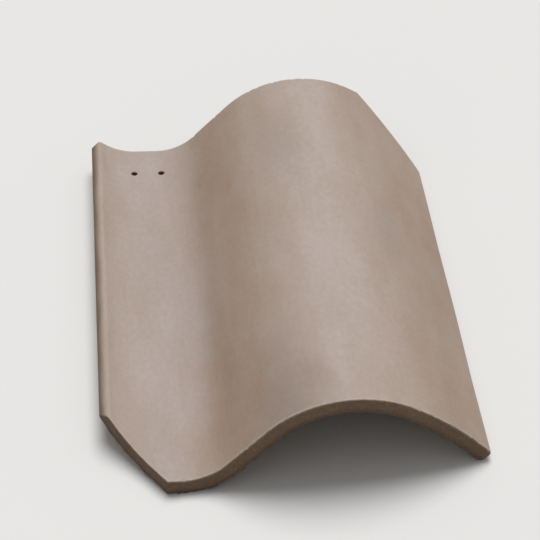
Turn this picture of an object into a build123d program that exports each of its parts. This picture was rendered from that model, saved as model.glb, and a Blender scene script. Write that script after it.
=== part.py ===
from math import asin, atan2, cos, degrees, hypot, radians, sin
import os

from build123d import *

# One-piece S roof tile of fired clay. It is pressed through a die as one long band, so a single
# section runs its whole length: a water-stop lap at the left, a narrow pan, and a wide barrel
# cover that ends in a rounded edge at the right. Millimetres, +Y up the roof, +Z up.

# Size of the tile
tile_length = 457.0
wall = 13.0

# How it is laid: the pitch across the roof, and how much of its width and its length is lapped
cover_pitch = 254.0
side_lap = 51.0
head_lap = 76.0
mitre_gap = 3.0

# Section, given along its weathered top surface, with x = 0 where the pan comes into view
pan_left = -8.0
pan_right = 12.0
lap_radius = 50.0
pan_radius = 48.0
flank_angle = 46.0
crest_height = 75.0
barrel_radius = 95.0
shoulder_angle = 28.5
shoulder_radius = 235.0

# Rounding that the die leaves on the long edges, and the wiped arris of the cut ends
cover_edge_round = 4.0
lap_edge_round = 3.0
cut_arris = 1.0

# Nail holes in the head of the pan
nail_hole_radius = 2.5
nail_hole_spacing = 25.0
nail_hole_to_head = 38.0

# The wire that cuts the corners runs past the clay by this share of the cut
cut_overrun = 0.2

# The lap is one arc, which ends where its lower corner reaches the side lap
lap_turn = asin((side_lap + pan_left) / (lap_radius + wall))
lap_edge_x = pan_left - lap_radius * sin(lap_turn)
lap_edge_z = lap_radius * (1 - cos(lap_turn))

# The barrel rises from the pan to the crest, and its right flank ends at the cover pitch
flank_turn = radians(flank_angle)
flank_rise = crest_height - (pan_radius + barrel_radius) * (1 - cos(flank_turn))
flank_length = flank_rise / sin(flank_turn)
crest_x = pan_right + (pan_radius + barrel_radius) * sin(flank_turn) + flank_length * cos(flank_turn)

shoulder_turn = radians(shoulder_angle)
shoulder_x = crest_x + barrel_radius * sin(shoulder_turn)
shoulder_z = crest_height - barrel_radius * (1 - cos(shoulder_turn))
edge_turn = asin(sin(shoulder_turn) + (cover_pitch - shoulder_x) / shoulder_radius)
edge_z = shoulder_z - shoulder_radius * (cos(shoulder_turn) - cos(edge_turn))

# Laid on a roof, the cover edge stands clear of the deck. Unheld on a level floor the tile leans
# over until that edge touches, and then it rests on the underside of the pan and on the edge.
# The floor is the common tangent of the pan's outer curve and of the rounded lower edge.
pan_centre = (pan_right, pan_radius)
pan_outer = pan_radius + wall
lower_edge_centre = (
    cover_pitch - cover_edge_round * cos(edge_turn) - (wall - cover_edge_round) * sin(edge_turn),
    edge_z + cover_edge_round * sin(edge_turn) - (wall - cover_edge_round) * cos(edge_turn),
)
reach = lower_edge_centre[0] - pan_centre[0]
drop = lower_edge_centre[1] - pan_centre[1]
lean = atan2(drop, reach) + asin((pan_outer - cover_edge_round) / hypot(reach, drop))

# The section: the top surface as one run of tangent arcs, thickened downwards by the wall
with BuildSketch() as section:
    with BuildLine():
        lap_slope = (cos(lap_turn), -sin(lap_turn))
        lap = JernArc((lap_edge_x, lap_edge_z), lap_slope, lap_radius, degrees(lap_turn))
        pan = Line(lap @ 1, (pan_right, 0))
        pan_arc = JernArc(pan @ 1, pan % 1, pan_radius, flank_angle)
        flank = Line(pan_arc @ 1, pan_arc @ 1 + (pan_arc % 1) * flank_length)
        barrel = JernArc(flank @ 1, flank % 1, barrel_radius, -flank_angle - shoulder_angle)
        shoulder_sweep = degrees(edge_turn) - shoulder_angle
        shoulder = JernArc(barrel @ 1, barrel % 1, shoulder_radius, -shoulder_sweep)
        offset(amount=wall, side=Side.RIGHT, mode=Mode.ADD)
    make_face()
    fillet(section.vertices().sort_by_distance(lap @ 0)[:2], lap_edge_round)
    fillet(section.vertices().sort_by_distance(shoulder @ 1)[:2], cover_edge_round)

# Where the side lap crosses the head lap, the clay would lie four deep. So the lower left corner
# of the lap and the upper right corner of the cover are cut off on the same diagonal, with a gap
# between them. This is the triangle that a cut takes off, run past the clay along the diagonal.
cut_x = side_lap + mitre_gap / 2
cut_y = head_lap + mitre_gap / 2
with BuildSketch() as corner_cut:
    with BuildLine():
        Polyline(
            (-cut_overrun * cut_x, -cut_overrun * cut_y),
            ((1 + cut_overrun) * cut_x, -cut_overrun * cut_y),
            (-cut_overrun * cut_x, (1 + cut_overrun) * cut_y),
            close=True,
        )
    make_face()

# Where the section stands once the tile has leaned over: its box gives the origin, at the
# middle of the space that the tile takes up on the floor
leaned = section.sketch.rotate(Axis.Z, -degrees(lean)).bounding_box()
origin = Vector(-leaned.center().X, -tile_length / 2, -leaned.min.Y)
across = Vector(cos(lean), 0, -sin(lean))
upright = Vector(sin(lean), 0, cos(lean))
butt_plane = Plane(origin, x_dir=across, z_dir=(0, -1, 0))
pan_plane = Plane(origin, x_dir=across, z_dir=upright)

with BuildPart() as roof_tile:
    # The band from the die, cut off square at both ends
    with BuildSketch(butt_plane):
        add(section.sketch)
    extrude(amount=-tile_length)

    # The two corners taken off for the mitre
    with BuildSketch(pan_plane):
        with Locations((-side_lap, 0), Location((cover_pitch, tile_length, 0), (0, 0, 180))):
            add(corner_cut.sketch)
    extrude(amount=crest_height + wall, both=True, mode=Mode.SUBTRACT)

    # A wet sponge takes the arris off the four cut faces, the two ends and the two mitres
    mitre_plane = Plane(origin, z_dir=across * cut_y + Vector(0, cut_x, 0))
    ends = roof_tile.faces().filter_by(Plane.XZ)
    mitres = roof_tile.faces().filter_by(mitre_plane)
    fillet(ends.edges() + mitres.edges(), cut_arris)

    # Two punched nail holes at the head of the pan, within the head lap
    nail_row = pan_plane.from_local_coords(
        Vector((pan_left + pan_right) / 2, tile_length - nail_hole_to_head, 0)
    )
    with Locations(nail_row):
        with GridLocations(nail_hole_spacing, 1, 2, 1):
            Hole(nail_hole_radius)

roof_tile.part.label = "roof_tile"

os.makedirs("parts", exist_ok=True)
export_step(roof_tile.part, "parts/roof_tile.step")
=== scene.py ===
import math

import bpy
import numpy as np
from mathutils import Matrix, Vector


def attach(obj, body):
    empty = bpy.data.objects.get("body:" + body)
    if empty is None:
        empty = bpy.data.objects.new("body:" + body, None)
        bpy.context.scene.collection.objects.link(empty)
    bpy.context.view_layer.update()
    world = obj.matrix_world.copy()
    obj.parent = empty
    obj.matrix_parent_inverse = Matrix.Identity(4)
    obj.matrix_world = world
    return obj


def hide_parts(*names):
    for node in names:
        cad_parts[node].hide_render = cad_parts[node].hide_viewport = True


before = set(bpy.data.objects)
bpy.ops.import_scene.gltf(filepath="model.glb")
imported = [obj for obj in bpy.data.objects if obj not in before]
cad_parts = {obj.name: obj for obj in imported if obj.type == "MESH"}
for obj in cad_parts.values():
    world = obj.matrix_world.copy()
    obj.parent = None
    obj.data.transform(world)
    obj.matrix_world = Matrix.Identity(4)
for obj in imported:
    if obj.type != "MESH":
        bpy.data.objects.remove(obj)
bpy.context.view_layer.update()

# The roof tile: one body of fired clay, with a thin slip on its weathered side. The die presses
# it out as a band with an S section, a wire cuts the band to length and takes off two corners,
# and two nail holes are punched at its head.
tile_length = 0.457
wall = 0.013
cover_pitch = 0.254
side_lap = 0.051
pan_left = -0.008
pan_right = 0.012
lap_radius = 0.050
pan_radius = 0.048
barrel_radius = 0.095
shoulder_radius = 0.235
crest_height = 0.075
flank_turn = math.radians(46.0)
shoulder_turn = math.radians(28.5)

lap_turn = math.asin((side_lap + pan_left) / (lap_radius + wall))
lap_edge_x = pan_left - lap_radius * math.sin(lap_turn)
lap_edge_z = lap_radius * (1 - math.cos(lap_turn))
flank_rise = crest_height - (pan_radius + barrel_radius) * (1 - math.cos(flank_turn))
flank_length = flank_rise / math.sin(flank_turn)
crest_x = (pan_right + (pan_radius + barrel_radius) * math.sin(flank_turn)
           + flank_length * math.cos(flank_turn))
shoulder_x = crest_x + barrel_radius * math.sin(shoulder_turn)
edge_turn = math.asin(math.sin(shoulder_turn) + (cover_pitch - shoulder_x) / shoulder_radius)

# The section's runs along the weathered side, from the lap edge to the cover edge: length, turn
section_runs = (
    (lap_radius * lap_turn, lap_turn),
    (pan_right - pan_left, 0.0),
    (pan_radius * flank_turn, flank_turn),
    (flank_length, 0.0),
    (barrel_radius * (flank_turn + shoulder_turn), -flank_turn - shoulder_turn),
    (shoulder_radius * (edge_turn - shoulder_turn), shoulder_turn - edge_turn),
)
section_length = sum(length for length, turn in section_runs)


def run_point(start, length, turn, gone):
    """The place and heading on a straight run or an arc, that far after its start."""
    x, z, heading = start
    if turn == 0.0:
        return x + gone * math.cos(heading), z + gone * math.sin(heading), heading
    bend = turn / length
    to = heading + bend * gone
    return (x + (np.sin(to) - math.sin(heading)) / bend,
            z - (np.cos(to) - math.cos(heading)) / bend, to)


# A point of the clay is given by its way along the section, its depth below the weathered side
# and its distance from the butt, all in metres
def section_point(along, depth):
    """Where a point of the section lies as laid on a roof, and which way the band heads there."""
    along = np.asarray(along, float)
    x, z, heading = (np.zeros_like(along) for _ in range(3))
    start, passed = (lap_edge_x, lap_edge_z, -lap_turn), 0.0
    for length, turn in section_runs:
        here = (along >= passed) | (passed == 0.0)
        x[here], z[here], heading[here] = run_point(start, length, turn, along[here] - passed)
        start = run_point(start, length, turn, length)
        passed += length
    return x + depth * np.sin(heading), z - depth * np.cos(heading), heading


# Unheld on a floor the tile leans over until the rounded low corner of its cover edge touches
cover_edge_round = 0.004
low_corner_x = (cover_pitch - cover_edge_round * math.cos(edge_turn)
                - (wall - cover_edge_round) * math.sin(edge_turn))
low_corner_z = section_point([section_length - cover_edge_round], wall - cover_edge_round)[1][0]
reach = low_corner_x - pan_right
drop = low_corner_z - pan_radius
lean = (math.atan2(drop, reach)
        + math.asin((pan_radius + wall - cover_edge_round) / math.hypot(reach, drop)))

# The wire cuts the lower left and the upper right corner off on one diagonal
head_lap = 0.076
mitre_gap = 0.003
mitre_slope = (head_lap + mitre_gap / 2) / (side_lap + mitre_gap / 2)
low_mitre_x = mitre_gap / 2
high_mitre_x = cover_pitch - side_lap - mitre_gap / 2


def butt_cut(x):
    return np.maximum(0.0, (low_mitre_x - x) * mitre_slope)


def head_cut(x):
    return tile_length - np.maximum(0.0, (x - high_mitre_x) * mitre_slope)


# Stations along the section, with one on each mitre's corner, and levels through the wall
station_step = 0.00125
lap_edge_round = 0.003
first_station = lap_edge_round
last_station = section_length - cover_edge_round
survey_points = 4000
survey = np.linspace(0.0, section_length, survey_points)
low_corner = lap_radius * lap_turn + low_mitre_x - pan_left
high_corner = float(np.interp(high_mitre_x, section_point(survey, 0.0)[0], survey))
columns = []
for start, end in ((first_station, low_corner), (low_corner, high_corner),
                   (high_corner, last_station)):
    columns.extend(np.linspace(start, end, round((end - start) / station_step) + 1)[:-1])
columns = np.array(columns + [last_station])
last_column = len(columns) - 1
round_levels = 5
flat_levels = 4
last_level = 2 * round_levels + flat_levels

# How far each station is drawn into the rounded long edges, and into the corner of the mitre
edge_reach = 0.014
corner_reach = 0.045
to_cover = np.clip(1 - (last_station - columns) / edge_reach, 0, 1)
to_lap = np.clip(1 - (columns - first_station) / edge_reach, 0, 1)
to_corner = np.clip(1 - np.abs(columns - high_corner) / corner_reach, 0, 1)
to_corner = to_corner * to_corner * (3 - 2 * to_corner)
corner_passes = 4


def long_edge(rounding, inset):
    """Reach and depth of each level on a rounded long edge of the band."""
    turn = np.linspace(0, math.pi / 2, round_levels + 1)
    small = rounding - inset
    reach_out = np.concatenate((small * np.sin(turn), np.full(flat_levels - 1, small),
                                small * np.sin(turn[::-1])))
    upper = inset + small * (1 - np.cos(turn))
    middle = np.linspace(rounding, wall - rounding, flat_levels + 1)[1:-1]
    return reach_out, np.concatenate((upper, middle, wall - upper[::-1]))


def clay_point(column, level, inset):
    """Way along the section and depth of a station and level, drawn in by the inset."""
    cover_out, cover_depth = long_edge(cover_edge_round, inset)
    lap_out, lap_depth = long_edge(lap_edge_round, inset)
    depth = (1 - to_lap[column]) * cover_depth[level] + to_lap[column] * lap_depth[level]
    along = columns[column] + to_cover[column] * cover_out[level] - to_lap[column] * lap_out[level]
    straight = np.full_like(depth, high_corner)
    for _ in range(corner_passes):
        x, _, heading = section_point(straight, depth)
        straight += (high_mitre_x - x) / np.cos(heading)
    return along + to_corner[column] * (straight - high_corner), depth


# The loop of stations round the band: weathered side, cover edge, underside, lap edge
levels_down = np.arange(1, last_level + 1)
loop_column = np.concatenate((np.arange(last_column + 1), np.full(last_level, last_column),
                              np.arange(last_column - 1, -1, -1), np.zeros(last_level - 1, int)))
loop_level = np.concatenate((np.zeros(last_column + 1, int), levels_down,
                             np.full(last_column, last_level), levels_down[-2::-1]))
loop_size = len(loop_column)

# How the band stands: its outline leans, and its middle and lowest point are those of the CAD
outline_x, outline_z, _ = section_point(*clay_point(loop_column, loop_level, 0.0))
leaned_x = outline_x * math.cos(lean) + outline_z * math.sin(lean)
leaned_z = outline_z * math.cos(lean) - outline_x * math.sin(lean)
middle_x = (leaned_x.min() + leaned_x.max()) / 2


def stand(x, y, z):
    """The laid tile's coordinates, turned to how the tile stands on the floor."""
    x, y, z = np.broadcast_arrays(x, y, z)
    return np.stack((x * math.cos(lean) + z * math.sin(lean) - middle_x,
                     y - tile_length / 2,
                     z * math.cos(lean) - x * math.sin(lean) - leaned_z.min()), -1)


# Rows from the butt to the head: the wiped arris, a few close rows, then the length of the tile,
# with more rows at the nail holes. A row has its share of the length, a step from it and an inset
arris = 0.0007
wiped = np.radians((0.0, 22.5, 45.0, 67.5, 90.0))
close_steps = (0.0016, 0.0024, 0.0036, 0.0055, 0.0082, 0.012)
end_steps = np.concatenate((arris * (1 - np.cos(wiped)), close_steps))
end_insets = np.concatenate((arris * (1 - np.sin(wiped)), np.zeros(len(close_steps))))
nail_hole_to_head = 0.038
hole_y = tile_length - nail_hole_to_head
hole_share = hole_y / tile_length
hole_zone = 0.0095 / tile_length
low_rows = 83
hole_rows = 16
high_rows = 6
shares = np.concatenate((
    np.linspace(0, hole_share - hole_zone, low_rows)[1:-1],
    np.linspace(hole_share - hole_zone, hole_share + hole_zone, hole_rows),
    np.linspace(hole_share + hole_zone, 1, high_rows)[1:-1]))
rows = [(0.0, step, inset) for step, inset in zip(end_steps, end_insets)]
rows += [(share, close_steps[-1] * (1 - 2 * share), 0.0) for share in shares]
rows += [(1.0, -step, inset) for step, inset in zip(end_steps[::-1], end_insets[::-1])]
row_count = len(rows)
body = []
for share, step, inset in rows:
    along, depth = clay_point(loop_column, loop_level, inset)
    x, _, _ = section_point(along, depth)
    low, high = butt_cut(x), head_cut(x)
    body.append((along, depth, low + (high - low) * share + step))
body_along, body_depth, body_y = np.array(body).transpose(1, 0, 2)

# The two cut faces, with stations and levels inside the wiped arris
cut_column, cut_level = (part.ravel() for part in np.meshgrid(
    np.arange(1, last_column), np.arange(1, last_level), indexing="ij"))
cut_along, cut_depth = clay_point(cut_column, cut_level, arris)
cut_x, _, _ = section_point(cut_along, cut_depth)
cut_size = len(cut_column)
point_along = np.concatenate((body_along.ravel(), cut_along, cut_along))
point_depth = np.concatenate((body_depth.ravel(), cut_depth, cut_depth))
point_y = np.concatenate((body_y.ravel(), butt_cut(cut_x), head_cut(cut_x)))


def loop_point(row, place):
    return row * loop_size + place % loop_size


def top_place(column):
    return column


def under_place(column):
    return 2 * last_column + last_level - column


def cut_point(head, column, level):
    """The point of a cut face: on its rim it is a point of the band's first or last row."""
    row = row_count - 1 if head else 0
    if level == 0:
        return loop_point(row, top_place(column))
    if level == last_level:
        return loop_point(row, under_place(column))
    if column == last_column:
        return loop_point(row, last_column + level)
    if column == 0:
        return loop_point(row, 2 * last_column + 2 * last_level - level)
    start = row_count * loop_size + (cut_size if head else 0)
    return start + (column - 1) * (last_level - 1) + level - 1


# Two nail holes: the punch turns the top rim in and breaks the clay out underneath. A block of
# cells is opened on each side of the wall, and the cells round it are drawn to a circle
nail_hole_radius = 0.0025
nail_hole_spacing = 0.025
rim_in = 0.0006
break_out = 0.0007
raggedness = 0.25
open_reach = 3
drawn_reach = 6
hole_cell = 0.0013
pan_side = survey[:survey_points // 2]
ring = []
for side in range(4):
    for step in range(-open_reach, open_reach):
        corner = ((open_reach, step), (-step, open_reach), (-open_reach, -step),
                  (step, -open_reach))
        ring.append(corner[side])
pan_middle = stand(np.array([(pan_left + pan_right) / 2]), hole_y, np.zeros(1))[0]
centre_y = pan_middle[1]
open_cells = set()
hole_rims = []
hole_dice = np.random.RandomState(31)
for side in (-1, 1):
    centre_x = pan_middle[0] + side * nail_hole_spacing / 2
    rims = {}
    for surface, level_depth, place_of in (("top", 0.0, top_place), ("under", wall, under_place)):
        side_x, side_z, _ = section_point(pan_side, level_depth)
        floor_x = stand(side_x, 0.0, side_z)[:, 0]
        centre_along = float(np.interp(centre_x, floor_x, pan_side))
        middle_column = int(np.argmin(np.abs(columns - centre_along)))
        middle_row = int(np.argmin(np.abs(body_y[:, place_of(middle_column)] - hole_y)))
        ragged = 1 + raggedness * hole_dice.uniform(-1, 1, len(ring)) * (surface == "under")
        for a in range(-drawn_reach, drawn_reach + 1):
            for b in range(-drawn_reach, drawn_reach + 1):
                distance = max(abs(a), abs(b))
                if distance < open_reach:
                    continue
                index = loop_point(middle_row + b, place_of(middle_column + a))
                around = math.atan2(b, a)
                radius = nail_hole_radius + (rim_in if surface == "top" else break_out)
                if surface == "under" and distance == open_reach:
                    radius *= ragged[ring.index((a, b))]
                radius += (distance - open_reach) * hole_cell
                target = np.array((centre_x + radius * math.cos(around),
                                   centre_y + radius * math.sin(around)))
                x, z, _ = section_point(point_along[index:index + 1], level_depth)
                now = stand(x, point_y[index], z)[0][:2]
                share = (distance - open_reach) / (drawn_reach - open_reach)
                share = share * share * (3 - 2 * share)
                target = target + (now - target) * share
                point_along[index] = np.interp(target[0], floor_x, pan_side)
                point_y[index] = target[1] + tile_length / 2
        for a in range(-open_reach, open_reach):
            for b in range(-open_reach, open_reach):
                place = min(place_of(middle_column + a), place_of(middle_column + a + 1))
                open_cells.add((middle_row + b, place))
        rims[surface] = [loop_point(middle_row + b, place_of(middle_column + a)) for a, b in ring]
    hole_rims.append((centre_x, rims))

# Faces, each kept with the finish it has: slip, bare clay from the die, or clay torn by the wire,
# which takes in the first rows of the underside too
SLIPPED, BARE, CUT = 0, 1, 2
torn_rows = 5
faces, finishes = [], []
for row in range(row_count - 1):
    for place in range(loop_size):
        if (row, place) in open_cells:
            continue
        faces.append((loop_point(row, place), loop_point(row, place + 1),
                      loop_point(row + 1, place + 1), loop_point(row + 1, place)))
        if place < under_place(last_column) or place >= under_place(0):
            finishes.append(SLIPPED)
        elif min(row, row_count - 2 - row) < torn_rows:
            finishes.append(CUT)
        else:
            finishes.append(BARE)
for head in (False, True):
    for column in range(last_column):
        for level in range(last_level):
            corners = (cut_point(head, column, level), cut_point(head, column, level + 1),
                       cut_point(head, column + 1, level + 1), cut_point(head, column + 1, level))
            faces.append(corners[::-1] if head else corners)
            finishes.append(CUT)


def ripple(seed, wave_length, *places):
    """Smooth unevenness of about that wave length, between about -1 and 1."""
    dice = np.random.RandomState(seed)
    total = 0.0
    waves = 14
    for _ in range(waves):
        way = dice.normal(size=len(places))
        way /= np.linalg.norm(way)
        pace = 2 * math.pi / (wave_length * dice.uniform(0.7, 1.6))
        phase = dice.uniform(0, 2 * math.pi)
        total = total + np.sin(phase + pace * sum(w * p for w, p in zip(way, places)))
    return total / math.sqrt(waves)


def close_to(distance, width):
    return np.clip(1 - distance / width, 0, 1)


# Unevenness of the clay: the band sags a little on its way to the kiln, and the die draws faint
# lines along it. The middle of the wall stays where it is
outer_share = 0.35
under_share = 0.6
sag = 0.00025
sag_wave = 0.085
sag_squeeze = 0.45
die_line = 0.00002
line_wave = 0.008
line_squeeze = 0.01
uneven = (sag * ripple(3, sag_wave, point_along, point_y * sag_squeeze)
          + die_line * ripple(4, line_wave, point_along, point_y * line_squeeze))
moved_depth = point_depth - np.where(point_depth < wall * outer_share, uneven, 0.0)
moved_depth -= np.where(point_depth > wall * (1 - outer_share), np.abs(uneven) * under_share, 0.0)

# The wire drags the cut faces: low streaks along the layers of the clay, and coarser grains
from_butt = point_y - butt_cut(section_point(point_along, point_depth)[0])
from_head = head_cut(section_point(point_along, point_depth)[0]) - point_y
rim_width = 0.002
cut_skin = 0.0006
drag = 0.00016
drag_wave = 0.0022
drag_squeeze = 0.12
grain = 0.0001
grain_wave = 0.003
inside_rim = np.clip(np.minimum(point_depth, wall - point_depth) / rim_width, 0, 1)
dragged = (drag * ripple(5, drag_wave, point_depth, point_along * drag_squeeze)
           + grain * ripple(6, grain_wave, point_along, point_depth)) * inside_rim
moved_y = point_y + dragged * (close_to(from_butt, cut_skin) - close_to(from_head, cut_skin))

# Burrs that the wire leaves hanging on the lower rim of the cuts, down and outwards
burr_size = 0.0006
burr_height = 0.0025
burr_reach = 0.0022
burr_wave = 0.013
small_burr_wave = 0.005
small_burr_share = 0.5
mean_burr = 0.25
largest_burr = 1.6
burr_down = 0.8
burr_out = 0.7
burr = (mean_burr + ripple(7, burr_wave, point_along)
        + small_burr_share * ripple(8, small_burr_wave, point_along))
burr = (burr_size * np.clip(burr, 0, largest_burr)
        * close_to(wall - point_depth, burr_height))
near_butt = close_to(from_butt, burr_reach)
near_head = close_to(from_head, burr_reach)
moved_depth += burr * (near_butt + near_head) * burr_down
moved_y += burr * (near_head - near_butt) * burr_out

# Nicks along the upper arris of the cuts, knocked out in handling: whether at the head, way along
# the section, radius, depth. The photograph shows the first two
nick_dice = np.random.RandomState(12)
nicks = [(False, 0.0596, 0.0021, 0.0008), (False, 0.1184, 0.0024, 0.0009)]
butt_nicks = 13
head_nicks = 11
for head, count in ((False, butt_nicks), (True, head_nicks)):
    for _ in range(count):
        nicks.append((head, nick_dice.uniform(0.045, section_length - 0.01),
                      nick_dice.uniform(0.0011, 0.0026), nick_dice.uniform(0.0003, 0.0007)))
nick_in = 0.7
nicked = np.zeros(len(point_along))
for head, along, radius, deep in nicks:
    from_end = from_head if head else from_butt
    away = np.sqrt((point_along - along) ** 2 + point_depth ** 2 + from_end ** 2) / radius
    hit = np.clip(1 - away ** 2, 0, 1) ** 1.5
    nicked = np.maximum(nicked, hit)
    moved_depth += hit * deep
    moved_y += hit * deep * (-nick_in if head else nick_in)

# The clay's points as they stand, with what their finish needs: their place, the rim, the nicks
x, z, _ = section_point(point_along, moved_depth)
points = stand(x, moved_y, z)
points[:, 2] = np.maximum(points[:, 2], 0.0)
rubbed_and_highlit_width = 0.0011
rim = np.exp(-((point_depth ** 2 + np.minimum(from_butt, from_head) ** 2) / rubbed_and_highlit_width ** 2))
points = list(points)
clay_place = list(np.stack((point_along, point_y, point_depth), -1))
rim, nicked = list(rim), list(nicked)

# The walls of the nail holes, ring below ring from the top rim to the one underneath: how much
# wider than the hole each is, and its share of the way down
hole_rings = ((0.0002, 0.015), (0.0, 0.06), (0.0, 0.35), (0.0, 0.65), (0.00005, 0.92),
              (0.0003, 0.98))
for centre_x, rims in hole_rims:
    rings_down = [rims["top"]]
    for wider, share in hole_rings:
        radius = nail_hole_radius + wider
        below = []
        for (a, b), high, low in zip(ring, rims["top"], rims["under"]):
            around = math.atan2(b, a)
            level = points[high][2] + (points[low][2] - points[high][2]) * share
            points.append(np.array((centre_x + radius * math.cos(around),
                                    centre_y + radius * math.sin(around), level)))
            clay_place.append(clay_place[high] + (clay_place[low] - clay_place[high]) * share)
            rim.append(0.0)
            nicked.append(0.0)
            below.append(len(points) - 1)
        rings_down.append(below)
    rings_down.append(rims["under"])
    for above, below in zip(rings_down, rings_down[1:]):
        for place in range(len(ring)):
            after = (place + 1) % len(ring)
            faces.append((above[place], above[after], below[after], below[place]))
            finishes.append(CUT)

used = sorted({point for face in faces for point in face})
new_number = {old: new for new, old in enumerate(used)}
tile_mesh = bpy.data.meshes.new("roof_tile_clay")
tile_mesh.from_pydata([points[old] for old in used], [],
                      [tuple(new_number[point] for point in face) for face in faces])
tile_mesh.polygons.foreach_set("material_index", finishes)
tile_mesh.shade_smooth()
place_layer = tile_mesh.attributes.new("clay_place", "FLOAT_VECTOR", "POINT")
place_layer.data.foreach_set("vector", np.array([clay_place[old] for old in used]).ravel())
for name, values in (("rim", rim), ("nick", nicked)):
    layer = tile_mesh.attributes.new(name, "FLOAT", "POINT")
    layer.data.foreach_set("value", np.array([values[old] for old in used]))
tile_mesh.update()
tile = bpy.data.objects.new("roof_tile_clay", tile_mesh)
bpy.context.scene.collection.objects.link(tile)


# The clay's finish is made of a few effects that its three materials share
def wire_up(tree, made, inputs):
    for socket, value in inputs.items():
        if isinstance(value, bpy.types.NodeSocket):
            tree.links.new(value, made.inputs[socket])
        else:
            made.inputs[socket].default_value = value


def node(tree, kind, inputs, **settings):
    made = tree.nodes.new(kind)
    for name, value in settings.items():
        setattr(made, name, value)
    wire_up(tree, made, inputs)
    return made


def sums(tree, operation, first, second):
    return node(tree, "ShaderNodeMath", {0: first, 1: second}, operation=operation).outputs[0]


def vectors(tree, operation, first, second):
    return node(tree, "ShaderNodeVectorMath", {0: first, 1: second},
                operation=operation).outputs[0]


def ranged(tree, value, low, high, to_low=0.0, to_high=1.0):
    return node(tree, "ShaderNodeMapRange",
                {"Value": value, "From Min": low, "From Max": high,
                 "To Min": to_low, "To Max": to_high},
                interpolation_type="SMOOTHSTEP").outputs["Result"]


def washed(tree, colour, *washes):
    """A colour with others laid over it, each by a mask and the share it covers at most."""
    for mask, share, over in washes:
        inputs = {0: sums(tree, "MULTIPLY", mask, share)}
        for socket, value in ((6, colour), (7, over)):
            inputs[socket] = value if isinstance(value, bpy.types.NodeSocket) else (*value, 1.0)
        colour = node(tree, "ShaderNodeMix", inputs, data_type="RGBA",
                      clamp_factor=True).outputs[2]
    return colour


def new_effect(name, inputs, outputs):
    group = bpy.data.node_groups.new(name, "ShaderNodeTree")
    for in_out, sockets in (("INPUT", inputs), ("OUTPUT", outputs)):
        for label, kind in sockets.items():
            group.interface.new_socket(label, in_out=in_out, socket_type="NodeSocket" + kind)
    given = group.nodes.new("NodeGroupInput").outputs
    gives = group.nodes.new("NodeGroupOutput").inputs
    return group, given, gives


def effect(tree, group, inputs):
    made = tree.nodes.new("ShaderNodeGroup")
    made.node_tree = group
    wire_up(tree, made, inputs)
    return made.outputs


# Clouds: broad soft patches, drawn out by the stretch
clouds, given, gives = new_effect(
    "clouds", {"Place": "Vector", "Stretch": "Vector", "Detail": "Float"}, {"Cloud": "Float"})
drawn = vectors(clouds, "MULTIPLY", given["Place"], given["Stretch"])
cloud = node(clouds, "ShaderNodeTexNoise",
             {"Vector": drawn, "Scale": 1.0, "Detail": given["Detail"], "Roughness": 0.5})
clouds.links.new(ranged(clouds, cloud.outputs["Fac"], 0.3, 0.7), gives["Cloud"])


def clouded(tree, place, stretch, detail):
    return effect(tree, clouds, {"Place": place, "Stretch": stretch, "Detail": detail})["Cloud"]


# Kiln grain: the fine sand and the pinholes of the fired clay
kiln_grain, given, gives = new_effect(
    "kiln_grain", {"Place": "Vector", "Grains per Metre": "Float"},
    {"Tone": "Float", "Sand": "Float", "Pinholes": "Float", "Height": "Float"})
fine = node(kiln_grain, "ShaderNodeTexNoise",
            {"Vector": given["Place"], "Scale": given["Grains per Metre"],
             "Detail": 5.0, "Roughness": 0.7})
tone = ranged(kiln_grain, fine.outputs["Fac"], 0.34, 0.66)
stir_size = 0.0009
stir = node(kiln_grain, "ShaderNodeTexNoise",
            {"Vector": given["Place"], "Scale": 1900.0, "Detail": 1.0}).outputs["Color"]
stir = vectors(kiln_grain, "MULTIPLY", stir, (stir_size, stir_size, stir_size))
stirred = vectors(kiln_grain, "ADD", given["Place"], stir)


def speckled(per_metre, channel, chosen_from, chosen_to, size, core):
    """Specks in some of the cells: from the first chosen share on, and of that size in a cell."""
    cells = node(kiln_grain, "ShaderNodeTexVoronoi", {"Vector": stirred, "Scale": per_metre})
    chosen = node(kiln_grain, "ShaderNodeSeparateColor", {0: cells.outputs["Color"]})
    return sums(kiln_grain, "MULTIPLY",
                ranged(kiln_grain, chosen.outputs[channel], chosen_from, chosen_to),
                ranged(kiln_grain, cells.outputs["Distance"], size, core))


pins_per_metre = sums(kiln_grain, "MULTIPLY", given["Grains per Metre"], 0.4)
sand = speckled(given["Grains per Metre"], "Red", 0.80, 0.97, 0.45, 0.15)
pinholes = speckled(pins_per_metre, "Green", 0.78, 1.0, 0.21, 0.06)
bumps = sums(kiln_grain, "ADD", sums(kiln_grain, "MULTIPLY", tone, 0.45),
             sums(kiln_grain, "MULTIPLY", sand, 0.4))
for label, value in (("Tone", tone), ("Sand", sand), ("Pinholes", pinholes),
                     ("Height", sums(kiln_grain, "SUBTRACT", bumps, pinholes))):
    kiln_grain.links.new(value, gives[label])

# Rim wear and painted highlight: the arris rubbed pale, and painted paler still as a highlight on
# its rounding, with fresh clay in the nicks
rim_wear_and_highlight, given, gives = new_effect(
    "rim_wear_and_highlight", {"Place": "Vector", "Rim": "Float", "Nick": "Float"}, {"Wear and Highlight": "Float"})
patchy = node(rim_wear_and_highlight, "ShaderNodeTexNoise",
              {"Vector": given["Place"], "Scale": 210.0, "Detail": 3.0})
rubbed_and_highlit = sums(rim_wear_and_highlight, "MULTIPLY", given["Rim"],
              ranged(rim_wear_and_highlight, patchy.outputs["Fac"], 0.28, 0.62, 0.35, 1.0))
rim_wear_and_highlight.links.new(sums(rim_wear_and_highlight, "MAXIMUM", rubbed_and_highlit, given["Nick"]), gives["Wear and Highlight"])

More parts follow.
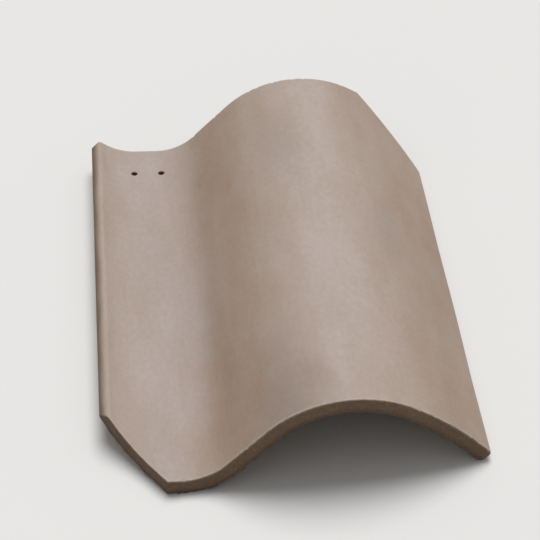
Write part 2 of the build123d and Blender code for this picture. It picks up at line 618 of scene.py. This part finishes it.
# Stain: one soft patch, with its middle and its reach along the section and up the tile
stain, given, gives = new_effect(
    "stain", {"Place": "Vector", "Middle": "Vector", "Reach": "Vector"}, {"Stain": "Float"})
off = vectors(stain, "DIVIDE", vectors(stain, "SUBTRACT", given["Place"], given["Middle"]),
              given["Reach"])
ragged_edge = node(stain, "ShaderNodeTexNoise",
                   {"Vector": given["Place"], "Scale": 38.0, "Detail": 2.0}).outputs["Fac"]
ragged_edge = sums(stain, "MULTIPLY", sums(stain, "SUBTRACT", ragged_edge, 0.5), 0.55)
far = node(stain, "ShaderNodeVectorMath", {0: off}, operation="LENGTH").outputs["Value"]
far = sums(stain, "ADD", far, ragged_edge)
stain.links.new(ranged(stain, far, 1.05, 0.0), gives["Stain"])


def new_finish(name):
    material = bpy.data.materials.new(name)
    material.use_nodes = True
    tree = material.node_tree
    place = node(tree, "ShaderNodeAttribute", {}, attribute_name="clay_place").outputs["Vector"]
    rim = node(tree, "ShaderNodeAttribute", {}, attribute_name="rim").outputs["Fac"]
    nick = node(tree, "ShaderNodeAttribute", {}, attribute_name="nick").outputs["Fac"]
    wear_and_highlight = effect(tree, rim_wear_and_highlight, {"Place": place, "Rim": rim, "Nick": nick})["Wear and Highlight"]
    tile_mesh.materials.append(material)
    return tree, tree.nodes["Principled BSDF"], place, wear_and_highlight


def finish_surface(tree, shader, colour, roughness, height, strength, distance):
    bump = node(tree, "ShaderNodeBump", {"Strength": strength, "Distance": distance,
                                         "Height": height})
    wire_up(tree, shader, {"Base Color": colour, "Roughness": roughness,
                           "Normal": bump.outputs["Normal"]})


# Weathered slip: tan-grey clay wash. Rain wash and a painted sky sheen keep the pan and the crest
# pale; dirt and painted shade brown the flanks
slip_tan = (0.455, 0.372, 0.312)
pan_slip_and_sheen = (0.462, 0.412, 0.402)
brown_slip_and_shade = (0.322, 0.219, 0.153)
slip_dun = (0.396, 0.312, 0.260)
pale_slip_and_sheen = (0.530, 0.460, 0.434)
slip_fawn = (0.464, 0.389, 0.347)
olive_slip_and_shade = (0.320, 0.234, 0.174)
slip_moss = (0.420, 0.362, 0.285)
pale_clay_and_highlight = (0.66, 0.57, 0.48)
bare_clay = (0.165, 0.112, 0.076)
damp_grey = (0.335, 0.290, 0.262)
wet_brown = (0.290, 0.222, 0.180)
wet_grey = (0.266, 0.215, 0.189)
dusty_pink = (0.46, 0.360, 0.325)
tree, shader, place, wear_and_highlight = new_finish("weathered_slip")
shader.inputs["Specular IOR Level"].default_value = 0.35
across = node(tree, "ShaderNodeSeparateXYZ", {0: place}).outputs

# Bands of colour along the section, by their share of its length, with edges that wander a little;
# the pale bands on the pan and the crest carry a painted sheen, the dark flank bands painted shade
bands = ((0.0, slip_tan), (0.11, pan_slip_and_sheen), (0.18, pan_slip_and_sheen), (0.28, brown_slip_and_shade),
         (0.36, brown_slip_and_shade), (0.50, slip_dun), (0.60, pale_slip_and_sheen), (0.70, slip_fawn),
         (0.82, olive_slip_and_shade), (1.0, olive_slip_and_shade))
band_wander = 0.03
wander = sums(tree, "SUBTRACT", clouded(tree, place, (24.0, 9.0, 1.0), 2.0), 0.5)
band = sums(tree, "ADD", sums(tree, "DIVIDE", across[0], section_length),
            sums(tree, "MULTIPLY", wander, band_wander))
ramp = node(tree, "ShaderNodeValToRGB", {0: band})
elements = ramp.color_ramp.elements
for _ in bands[2:]:
    elements.new(1.0)
for element, (band_at, band_colour) in zip(elements, bands):
    element.position = band_at
    element.color = (*band_colour, 1.0)
ramp.color_ramp.interpolation = "B_SPLINE"

# Patches of rain wash and dirt, and a thin dark line along the foot of the flank: the middle
# and the reach of each along the section and up the tile, share, colour
stains = (((0.158, 0.012), (0.056, 0.090), 0.80, wet_grey),
          ((0.092, 0.036), (0.027, 0.066), 0.50, brown_slip_and_shade),
          ((0.132, 0.050), (0.034, 0.066), 0.36, brown_slip_and_shade),
          ((0.164, 0.086), (0.021, 0.062), 0.30, wet_grey),
          ((0.107, 0.140), (0.009, 0.300), 0.10, bare_clay),
          ((0.078, 0.185), (0.026, 0.095), 0.55, pan_slip_and_sheen),
          ((0.214, 0.170), (0.046, 0.100), 0.50, pale_slip_and_sheen),
          ((0.312, 0.155), (0.026, 0.110), 0.32, wet_brown),
          ((0.275, 0.235), (0.030, 0.060), 0.45, damp_grey),
          ((0.255, 0.090), (0.022, 0.060), 0.50, dusty_pink),
          ((0.190, 0.350), (0.032, 0.085), 0.45, damp_grey),
          ((0.130, 0.235), (0.024, 0.115), 0.22, dusty_pink))
rain_wash = clouded(tree, place, (21.0, 6.5, 1.0), 2.0)
dirt = clouded(tree, place, (-33.0, 11.0, 3.0), 3.0)
blush = clouded(tree, place, (52.0, 30.0, 50.0), 2.0)
moss = clouded(tree, place, (-46.0, 34.0, 48.0), 2.0)
colour = washed(tree, ramp.outputs["Color"], (rain_wash, 0.30, pale_slip_and_sheen),
                (dirt, 0.30, brown_slip_and_shade), (blush, 0.16, dusty_pink), (moss, 0.16, slip_moss))
for middle, stain_reach, share, stain_colour in stains:
    patch = effect(tree, stain, {"Place": place, "Middle": (*middle, 0.0),
                                 "Reach": (*stain_reach, 1.0)})["Stain"]
    colour = washed(tree, colour, (patch, share, stain_colour))
runs = clouded(tree, place, (260.0, 7.0, 60.0), 3.0)
mottle = clouded(tree, place, (230.0, 150.0, 230.0), 4.0)
bloom = clouded(tree, place, (-270.0, 180.0, 250.0), 4.0)
grains = effect(tree, kiln_grain, {"Place": place, "Grains per Metre": 1100.0})
colour = washed(tree, colour,
                (runs, 0.05, brown_slip_and_shade),
                (mottle, 0.17, brown_slip_and_shade),
                (bloom, 0.08, pale_slip_and_sheen),
                (grains["Tone"], 0.18, brown_slip_and_shade),
                (grains["Sand"], 0.30, pale_clay_and_highlight),
                (grains["Pinholes"], 0.6, bare_clay),
                (wear_and_highlight, 0.6, pale_clay_and_highlight))

# The slip runs out unevenly on the long edges, where the bare clay begins
slip_ends = 0.0025
bare_begins = 0.0105
run_off_wander = 0.0015
thin_edge = clouded(tree, place, (90.0, 24.0, 90.0), 4.0)
run_off = sums(tree, "ADD", across[2], sums(tree, "MULTIPLY", thin_edge, run_off_wander))
colour = washed(tree, colour, (ranged(tree, run_off, slip_ends, bare_begins), 1.0, bare_clay))
finish_surface(tree, shader, colour, ranged(tree, grains["Tone"], 0.2, 0.8, 0.74, 0.92),
               grains["Height"], 0.6, 0.0003)

# Bare clay on the underside, as it left the die, with faint lines along the band
kiln_buff = (0.28, 0.218, 0.166)
die_brown = (0.215, 0.152, 0.108)
die_smear = (0.175, 0.120, 0.083)
pin_shadow = (0.08, 0.058, 0.043)
tree, shader, place, wear_and_highlight = new_finish("bare_die_side")
shader.inputs["Specular IOR Level"].default_value = 0.3
grains = effect(tree, kiln_grain, {"Place": place, "Grains per Metre": 900.0})
buff = clouded(tree, place, (26.0, 8.0, 1.0), 3.0)
smears = clouded(tree, place, (120.0, 70.0, 90.0), 5.0)
lines = clouded(tree, place, (420.0, 2.0, 3.0), 2.0)
colour = washed(tree, die_brown,
                (buff, 0.7, kiln_buff),
                (smears, 0.30, die_smear),
                (lines, 0.10, bare_clay),
                (grains["Tone"], 0.3, bare_clay),
                (grains["Sand"], 0.2, pale_clay_and_highlight),
                (grains["Pinholes"], 0.5, pin_shadow))
height = sums(tree, "ADD", grains["Height"], sums(tree, "MULTIPLY", lines, 0.5))
finish_surface(tree, shader, colour, ranged(tree, grains["Tone"], 0.2, 0.8, 0.8, 0.95),
               height, 0.5, 0.0004)

# Clay cut by the wire: coarse, and dark partly from its own brown and partly from painted shade,
# with its layers showing as streaks along the S
cut_brown_and_shade = (0.180, 0.116, 0.074)
cut_dark = (0.128, 0.078, 0.047)
layer_dark = (0.105, 0.067, 0.043)
iron_red = (0.200, 0.112, 0.078)
torn_dark = (0.088, 0.056, 0.037)
cut_pale = (0.255, 0.176, 0.119)
sand_pale = (0.36, 0.29, 0.23)
# The pinholes of the cut are painted near black, as shade in the pores
pinhole_shade = (0.04, 0.03, 0.024)
burr_shade_dark = (0.070, 0.047, 0.033)
tree, shader, place, wear_and_highlight = new_finish("wire_cut_clay")
shader.inputs["Specular IOR Level"].default_value = 0.25
grains = effect(tree, kiln_grain, {"Place": place, "Grains per Metre": 700.0})
burnt = clouded(tree, place, (40.0, 20.0, 60.0), 2.0)
layers = clouded(tree, place, (45.0, 20.0, 700.0), 3.0)
iron = clouded(tree, place, (95.0, 40.0, 130.0), 3.0)
torn = clouded(tree, place, (300.0, 60.0, 380.0), 4.0)
# A band of painted shade along the lower rim of the cut, under the burrs
burr_shade_top = wall - 0.0055
burr_shade_end = wall - 0.0003
across = node(tree, "ShaderNodeSeparateXYZ", {0: place}).outputs
low_burr_shade = ranged(tree, across[2], burr_shade_top, burr_shade_end)
colour = washed(tree, cut_brown_and_shade,
                (burnt, 0.8, cut_dark),
                (layers, 0.35, layer_dark),
                (iron, 0.45, iron_red),
                (torn, 0.55, torn_dark),
                (grains["Tone"], 0.5, cut_pale),
                (grains["Sand"], 0.35, sand_pale),
                (grains["Pinholes"], 0.8, pinhole_shade),
                (low_burr_shade, 0.55, burr_shade_dark),
                (wear_and_highlight, 0.7, pale_clay_and_highlight))
height = sums(tree, "ADD", grains["Height"],
              sums(tree, "MULTIPLY", sums(tree, "ADD", layers, torn), 0.7))
finish_surface(tree, shader, colour, ranged(tree, grains["Tone"], 0.2, 0.8, 0.85, 0.97),
               height, 0.8, 0.0005)

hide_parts("roof_tile")
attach(tile, "root")

# The studio floor: a plain painted board, pale and level, that carries on past the picture. The
# tile lies on it unheld.
floor_size = 12.0
floor_tone = (0.80, 0.79, 0.775)
half = floor_size / 2
floor_mesh = bpy.data.meshes.new("studio_floor")
floor_mesh.from_pydata([(-half, -half, 0), (half, -half, 0), (half, half, 0), (-half, half, 0)],
                       [], [(0, 1, 2, 3)])
floor = bpy.data.objects.new("studio_floor", floor_mesh)
bpy.context.scene.collection.objects.link(floor)
floor_paint = bpy.data.materials.new("floor_paint")
floor_paint.use_nodes = True
wire_up(floor_paint.node_tree, floor_paint.node_tree.nodes["Principled BSDF"],
        {"Base Color": (*floor_tone, 1), "Roughness": 0.9, "Specular IOR Level": 0.1})
floor_mesh.materials.append(floor_paint)

# The light: an even room, whose walls look as pale as the floor, and one broad soft lamp that
# hangs high above the tile and a little behind it
room_light = 0.33
room = bpy.data.worlds.new("studio_room")
room.use_nodes = True
lit = room.node_tree.nodes["Background"]
wire_up(room.node_tree, lit, {"Color": (1.0, 1.0, 1.0, 1.0), "Strength": room_light})
walls = node(room.node_tree, "ShaderNodeBackground", {"Color": (*floor_tone, 1), "Strength": 1.0})
rays = node(room.node_tree, "ShaderNodeLightPath", {}).outputs
seen = sums(room.node_tree, "MAXIMUM", rays["Is Camera Ray"], rays["Is Glossy Ray"])
seen = sums(room.node_tree, "MAXIMUM", seen, rays["Is Transmission Ray"])
both = node(room.node_tree, "ShaderNodeMixShader",
            {0: seen, 1: lit.outputs[0], 2: walls.outputs[0]})
room.node_tree.links.new(both.outputs[0], room.node_tree.nodes["World Output"].inputs["Surface"])
bpy.context.scene.world = room


def look_along(thing, at, target, roll=0.0):
    """Stands a lamp or a camera at a place, turned to a target, and rolled about its view."""
    turn = (Vector(target) - Vector(at)).to_track_quat("-Z", "Y").to_matrix().to_4x4()
    thing.matrix_world = Matrix.Translation(at) @ turn @ Matrix.Rotation(roll, 4, "Z")


lamp_at = (0.35, 1.0, 2.3)
soft_lamp = bpy.data.lights.new("soft_lamp", "SUN")
soft_lamp.angle = math.radians(38.0)
soft_lamp.energy = 2.35
lamp = bpy.data.objects.new("soft_lamp", soft_lamp)
bpy.context.scene.collection.objects.link(lamp)
look_along(lamp, lamp_at, (0.0, 0.0, 0.0))

# The camera: a long lens at the photograph's viewing angle on the laid tile, rolled with the
# tile's lean, so that the tile stands in the picture as a laid one does
camera_at = (-0.0461, -1.3562, 1.0770)
camera_aim = (0.0, 0.0, 0.032)
camera_roll = math.radians(-4.93)
lens_pixels = 2000.0
picture_side = 540.0
sensor = 36.0
view = bpy.data.cameras.new("camera")
view.sensor_width = sensor
view.lens = lens_pixels / picture_side * sensor
camera = bpy.data.objects.new("camera", view)
bpy.context.scene.collection.objects.link(camera)
look_along(camera, camera_at, camera_aim, camera_roll)
bpy.context.scene.camera = camera
bpy.context.scene.view_settings.view_transform = "Standard"

bpy.context.view_layer.update()
